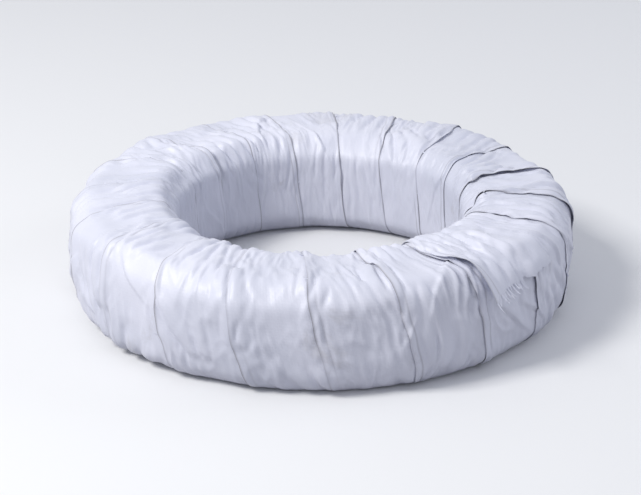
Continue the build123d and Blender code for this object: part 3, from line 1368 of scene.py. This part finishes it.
        # Nothing of the strip goes under the plane that its own layer has on the floor
        room = self.section.middle_height - self.section.half_size
        level = np.maximum(level, room - self.floor_share * self.base(pitches))
        places = np.stack([radius * np.cos(ring), radius * np.sin(ring), level], axis=-1)
        flat = np.stack([along, pitches * self.pitch_width], axis=-1)
        return places, flat, self.edge_shade_and_dust(turn, pitches)

    def build(self, cloth: bpy.types.Material) -> list[bpy.types.Object]:
        """Build the strip in runs that meet on the underside, out of sight.

        Args:
            cloth: The cloth's material.

        Returns:
            The objects of its runs.
        """
        hem_end = 1.5 * self.hem_width / self.pitch_width
        hem = np.linspace(0.0, hem_end, self.columns_hem + 1)[:-1]
        shown = np.linspace(hem_end, 1.0, self.columns_shown + 1)
        covered = 1.0 + np.linspace(0.0, 1.0, self.columns_covered + 1)[1:]
        across = np.concatenate([hem, shown, covered])
        pieces = []
        for number, (start, end) in enumerate(zip(self.cuts, self.cuts[1:] + (self.turns,))):
            rows = round((end - start) * self.rows_per_turn)
            places, flat, edge_shade_and_dust = self.surface(np.linspace(start, end, rows + 1), across)
            name = f"woven_strip_run_{number + 1}"
            piece = cloth_object(name, places, flat, edge_shade_and_dust, self.cloth_thickness, cloth)
            tapes = self.fray.build(self, number, start, end, cloth)
            for part in (piece, tapes):
                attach(part, "root")
                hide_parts("woven_wrap")
            pieces += [piece, tapes]
        return pieces


def closed_faces(rows: int, columns: int) -> tuple[Array, Array]:
    """Faces of a closed sheet: one grid of points over another, and a rim that joins them all round.

    Args:
        rows: Rows of points of each grid.
        columns: Columns of points.

    Returns:
        The faces by the numbers of their points, and the numbers of the first grid's rim.
    """
    index = np.arange(rows * columns).reshape(rows, columns)
    corners = [index[:-1, :-1], index[:-1, 1:], index[1:, 1:], index[1:, :-1]]
    top = np.stack(corners, axis=-1).reshape(-1, 4)
    under = top[:, ::-1] + rows * columns
    loop = np.concatenate([index[0, :-1], index[:-1, -1], index[-1, :0:-1], index[:0:-1, 0]])
    after = np.roll(loop, -1)
    rim = np.stack([after, loop, loop + rows * columns, after + rows * columns], axis=-1)
    return np.concatenate([top, under, rim]), loop


def cloth_object(
    name: str, places: Array, flat: Array, edge_shade_and_dust: Array, thickness: float, material: bpy.types.Material
) -> bpy.types.Object:
    """Make a closed piece of cloth from a grid of places.

    The two sides are the grid moved by half the thickness along its normals, which are the cross
    products of its slopes along rows and columns. A rim of faces joins them all round.

    Args:
        name: The object's name.
        places: Rows by columns by x, y and z, in millimetres.
        flat: Rows by columns by the two places on the flat cloth, in millimetres.
        edge_shade_and_dust: Rows by columns, the share of painted shade and dust along the edges.
        thickness: The cloth's thickness in millimetres.
        material: Its material.

    Returns:
        The object, smooth, with hard edges at its rim and a UV map in millimetres.
    """
    rows, columns = places.shape[:2]
    normals = np.cross(np.gradient(places, axis=1), np.gradient(places, axis=0))
    normals /= np.linalg.norm(normals, axis=-1, keepdims=True)
    sides = [places + normals * thickness / 2.0, places - normals * thickness / 2.0]
    points = np.concatenate([side.reshape(-1, 3) for side in sides])
    faces, loop = closed_faces(rows, columns)
    piece = add_piece(name, points, faces, material)

    mesh = piece.data
    on_rim = np.zeros(len(points), dtype=bool)
    on_rim[np.concatenate([loop, loop + rows * columns])] = True
    edges = np.empty(len(mesh.edges) * 2, dtype=np.int32)
    mesh.edges.foreach_get("vertices", edges)
    first, second = edges[::2], edges[1::2]
    same_side = (first < rows * columns) == (second < rows * columns)
    sharp = mesh.attributes.new("sharp_edge", "BOOLEAN", "EDGE")
    sharp.data.foreach_set("value", on_rim[first] & on_rim[second] & same_side)
    corners = np.empty(len(mesh.loops), dtype=np.int32)
    mesh.loops.foreach_get("vertex_index", corners)
    on_cloth = np.tile(flat.reshape(-1, 2), (2, 1))[corners]
    mesh.uv_layers.new(name=STRIP_MAP).data.foreach_set("uv", on_cloth.ravel())
    # Painted shade along the lap edges and in the hem's groove, with some dust, for the cloth's material
    edge_shade_and_dust_layer = mesh.attributes.new("edge_shade_and_dust", "FLOAT", "POINT")
    edge_shade_and_dust_layer.data.foreach_set("value", np.tile(edge_shade_and_dust.ravel(), 2))
    mesh.validate()
    return piece


# The wire and what binds it


@dataclass(frozen=True)
class WoundWire:
    """The wound galvanized wire inside the wrap, which keeps its CAD shape."""

    finish: GalvanizedZinc = GalvanizedZinc()

    def dress(self) -> list[bpy.types.Object]:
        """Give the wound wire its zinc."""
        return dress_nodes(["wire_coil"], self.finish.material(), Slot.WIRE)


@dataclass(frozen=True)
class BindingWires:
    """The four soft wires that bind the turns, under the wrap."""

    count: int = 4
    finish: AnnealedIron = AnnealedIron()

    def dress(self) -> list[bpy.types.Object]:
        """Give the binding wires their black iron."""
        names = [f"tie_wire_{number + 1}" for number in range(self.count)]
        return dress_nodes(names, self.finish.material(), Slot.TIE)


def dress_nodes(names: list[str], material: bpy.types.Material, slot: Slot) -> list[bpy.types.Object]:
    """Give CAD nodes one material.

    Args:
        names: Names of the nodes.
        material: What they are made of.
        slot: The record's material slot, which is not used.

    Returns:
        The nodes' objects.
    """
    found = [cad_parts[name] for name in names]
    for node in found:
        node.data.materials.clear()
        node.data.materials.append(material)
    return found


# The studio


@dataclass(frozen=True)
class Lamp:
    """A square soft lamp that faces the object. Its place and size are in metres, its power in watts."""

    name: str
    place: tuple[float, float, float]
    size: float
    power: float
    colour: str

    def add(self, target: Vector) -> bpy.types.Object:
        """Hang the lamp and turn it to the target.

        Args:
            target: The place that it faces.

        Returns:
            The lamp.
        """
        light = bpy.data.lights.new(self.name, "AREA")
        light.shape = "SQUARE"
        light.size = self.size
        light.energy = self.power
        light.color = linear(self.colour)[:3]
        lamp = bpy.data.objects.new(self.name, light)
        lamp.location = self.place
        lamp.rotation_euler = (target - lamp.location).to_track_quat("-Z", "Y").to_euler()
        bpy.context.scene.collection.objects.link(lamp)
        return lamp


@dataclass(frozen=True)
class Studio:
    """Plain pale floor, soft lamps, a soft sky and the camera. Lengths here are in metres."""

    azimuth: float = 0.0
    elevation: float = 23.0
    distance: float = 2.2
    shown_width: float = 0.665
    look_at: tuple[float, float, float] = (0.0, 0.0, 0.046)
    floor_size: float = 30.0
    sky_colour: str = "#f2f5ff"
    sky_strength: float = 0.55
    background_colour: str = "#f4f4f6"
    lamps: tuple[Lamp, ...] = (
        Lamp("key_lamp", (-1.8, -0.95, 2.2), 0.9, 61.0, "#fffdfa"),
        Lamp("side_lamp", (2.6, 0.6, 1.4), 1.4, 12.0, "#eef2ff"),
    )
    finish: StudioFloor = StudioFloor()

    def camera(self) -> bpy.types.Object:
        """Place the camera at the photograph's viewing angle.

        The view is as wide as shown_width at the distance of the look_at point.

        Returns:
            The camera.
        """
        data = bpy.data.cameras.new("camera")
        data.sensor_fit = "HORIZONTAL"
        data.lens = data.sensor_width * self.distance / self.shown_width
        camera = bpy.data.objects.new("camera", data)
        turn, rise = math.radians(self.azimuth), math.radians(self.elevation)
        away = Vector((math.sin(turn) * math.cos(rise), -math.cos(turn) * math.cos(rise), math.sin(rise)))
        camera.location = Vector(self.look_at) + away * self.distance
        camera.rotation_euler = (-away).to_track_quat("-Z", "Y").to_euler()
        bpy.context.scene.collection.objects.link(camera)
        bpy.context.scene.camera = camera
        return camera

    def floor(self) -> bpy.types.Object:
        """Lay the floor, a square of which the object is in the middle.

        Returns:
            The floor.
        """
        corners = np.array([(-1.0, -1.0, 0.0), (1.0, -1.0, 0.0), (1.0, 1.0, 0.0), (-1.0, 1.0, 0.0)])
        half = self.floor_size / 2.0 / MILLIMETRE
        floor = add_piece("studio_floor", corners * half, [(0, 1, 2, 3)], self.finish.material())
        return floor

    def sky(self) -> None:
        """Light the scene evenly from all round, and show white to the camera."""
        world = bpy.data.worlds.new("soft_sky")
        bpy.context.scene.world = world
        world.use_nodes = True
        tree = world.node_tree
        tree.nodes.clear()
        soft = {"Color": linear(self.sky_colour), "Strength": self.sky_strength}
        white = {"Color": linear(self.background_colour), "Strength": 1.0}
        links = {0: background_share(tree)}
        for number, values in enumerate((soft, white)):
            links[number + 1] = add_node(tree, "ShaderNodeBackground", values=values)
        mixed = add_node(tree, "ShaderNodeMixShader", links=links)
        add_node(tree, "ShaderNodeOutputWorld", links={"Surface": mixed})

    def build(self) -> None:
        """Set up the camera, the floor, the sky and the lamps."""
        self.camera()
        self.floor()
        self.sky()
        for lamp in self.lamps:
            lamp.add(Vector(self.look_at))
        bpy.context.scene.view_settings.view_transform = "Standard"


def main() -> None:
    """Build the studio and every piece, and report each."""
    logging.basicConfig(level=logging.INFO, format="%(name)s: %(message)s")
    Studio().build()
    pieces = WoundWire().dress() + BindingWires().dress()
    pieces += WovenStrip().build(WovenPolypropylene().material())
    for piece in pieces:
        LOG.info("%s has %d faces", piece.name, len(piece.data.polygons))


if __name__ == "__main__":
    main()
